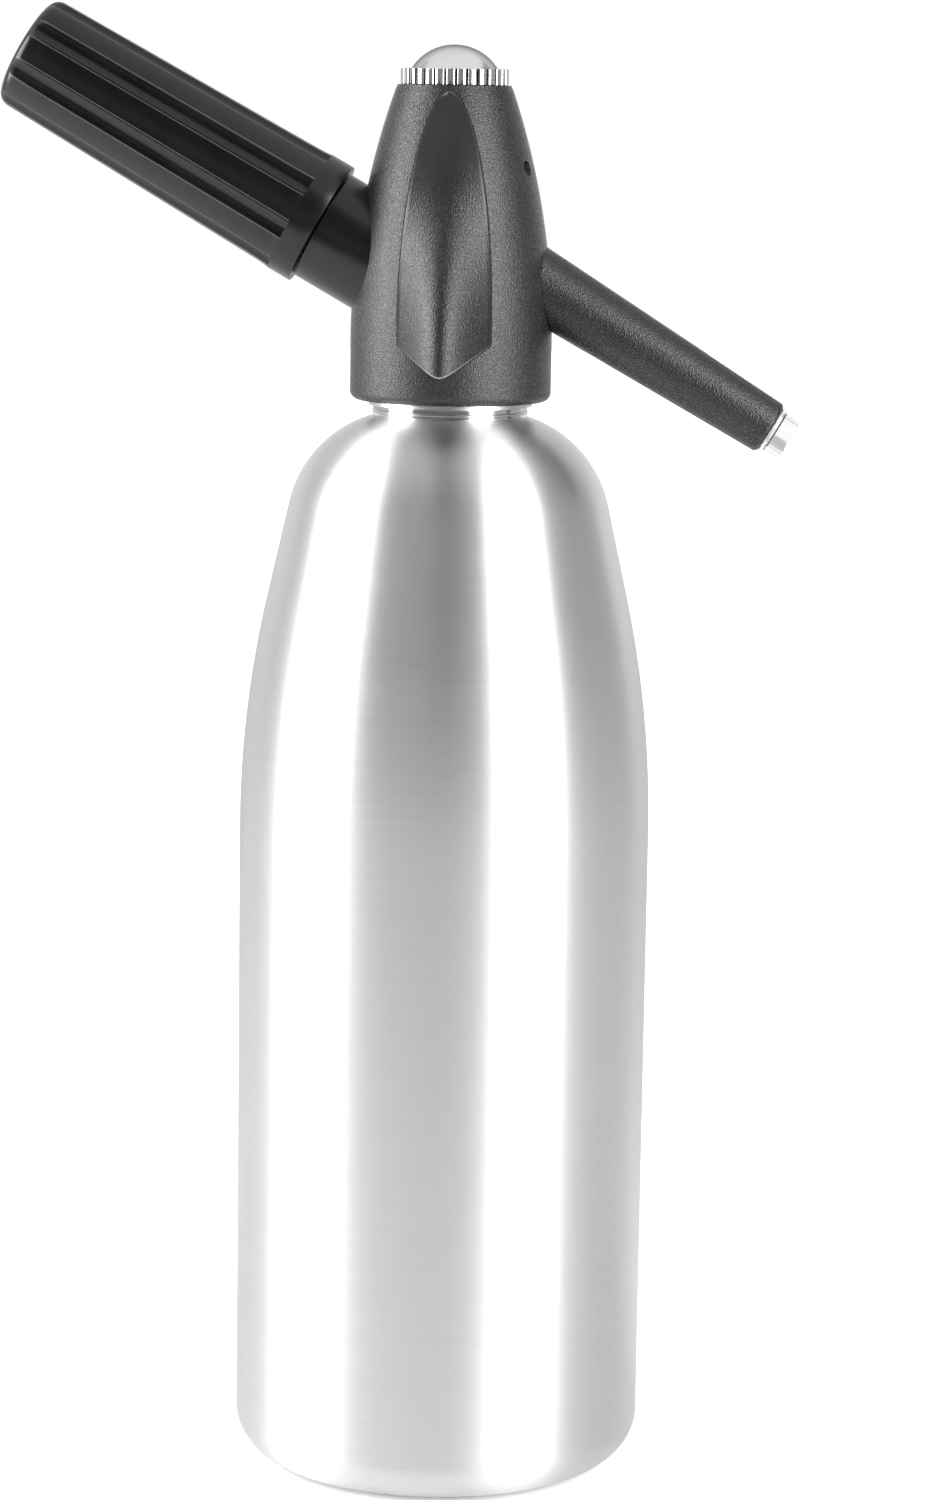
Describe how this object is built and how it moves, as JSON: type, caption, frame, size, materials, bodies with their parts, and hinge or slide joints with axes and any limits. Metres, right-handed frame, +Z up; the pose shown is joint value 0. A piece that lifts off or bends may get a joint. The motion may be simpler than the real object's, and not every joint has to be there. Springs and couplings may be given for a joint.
{
  "type": "soda siphon",
  "caption": "Aluminium soda siphon with a black screw-on head, push button, fluted charger holder, down-turned spout, inner valve, dip tube and measuring tube.",
  "frame": {"origin": "centre of the ring that the bottle stands on, at the height of the table", "axes": "+Z up the bottle's axis, +X towards the spout, -X towards the charger holder, -Y towards the front grip wing"},
  "size_m": [0.1832, 0.095, 0.3369],
  "materials": {
    "bottle": "fine horizontal brushing, clear anodised",
    "natural_plastic": "milky natural plastic",
    "dip_plastic": "milky natural plastic",
    "seal_rubber": "soft black rubber",
    "gasket_rubber": "pale silicone rubber",
    "cover_black": "fine leather grain, dull sheen",
    "spout_black": "fine leather grain, dull sheen",
    "smooth_black": "smooth satin",
    "core_plastic": "smooth moulded plastic",
    "body_metal": "turned, lightly satin",
    "brass": "turned brass",
    "steel": "bright stainless steel",
    "spring_steel": "drawn spring wire",
    "guide_plastic": "acetal plastic",
    "chrome": "polished chrome plate",
    "filter_bronze": "sintered, porous",
    "charger_steel": "satin zinc plated steel",
    "holder_black": "smooth satin with a dull sheen",
    "clear_plastic": "clear moulded plastic"
  },
  "bodies": {
    "bottle": {"bottle": "bottle", "measuring_tube": "natural_plastic"},
    "dip_tube": {"dip_tube": "dip_plastic"},
    "head": {"dip_tube_seal": "seal_rubber", "head_shell": "cover_black", "valve_body": "body_metal", "head_gasket": "gasket_rubber", "valve_seat": "brass", "stem_guide": "guide_plastic", "stem_seal": "seal_rubber", "return_spring": "spring_steel", "bezel_ring": "chrome", "charger_socket": "smooth_black", "socket_seal": "seal_rubber", "gas_filter": "filter_bronze", "check_sleeve": "seal_rubber", "piercing_pin": "steel", "charger_seal": "seal_rubber", "spout_tube": "spout_black", "soda_duct": "natural_plastic", "duct_seal": "seal_rubber", "spout_nozzle": "clear_plastic", "nozzle_seal": "gasket_rubber", "relief_spring": "spring_steel", "relief_cap": "brass"},
    "button": {"button_dome": "chrome", "button_plunger": "core_plastic", "valve_stem": "steel", "valve_disc": "seal_rubber"},
    "charger": {"gas_charger": "charger_steel"},
    "holder": {"charger_holder": "holder_black"},
    "relief_poppet": {"relief_poppet": "brass"}
  },
  "joints": [
    {"name": "head_rise", "type": "slide", "parent": "bottle", "child": "dip_tube", "axis": [0, 0, 1], "range_m": [0, 0.0105]},
    {"name": "head_turn", "type": "hinge", "parent": "dip_tube", "child": "head", "pos_m": [0, 0, 0.26199], "axis": [0, 0, 1], "range_deg": [0, 1260]},
    {"name": "holder_travel", "type": "slide", "parent": "head", "child": "charger", "axis": [-0.8704, 0, 0.4924], "range_m": [0, 0.0125]},
    {"name": "holder_turn", "type": "hinge", "parent": "charger", "child": "holder", "pos_m": [-0.02985, 0, 0.28778], "axis": [-0.8704, 0, 0.4924], "range_deg": [0, 1800]},
    {"name": "button_press", "type": "slide", "parent": "head", "child": "button", "axis": [0, 0, -1], "range_m": [0, 0.004], "stiffness_N_per_m": 2500, "springref_m": -0.004, "deforming": ["return_spring"]},
    {"name": "relief_lift", "type": "slide", "parent": "head", "child": "relief_poppet", "axis": [0, 0, 1], "range_m": [0, 0.0012], "stiffness_N_per_m": 2000, "springref_m": -0.0015, "deforming": ["relief_spring"]}
  ],
  "couplings": [
    {"joint": "head_turn", "follows": "head_rise", "rad_per_m": 2094.4},
    {"joint": "holder_turn", "follows": "holder_travel", "rad_per_m": 2513.3}
  ]
}
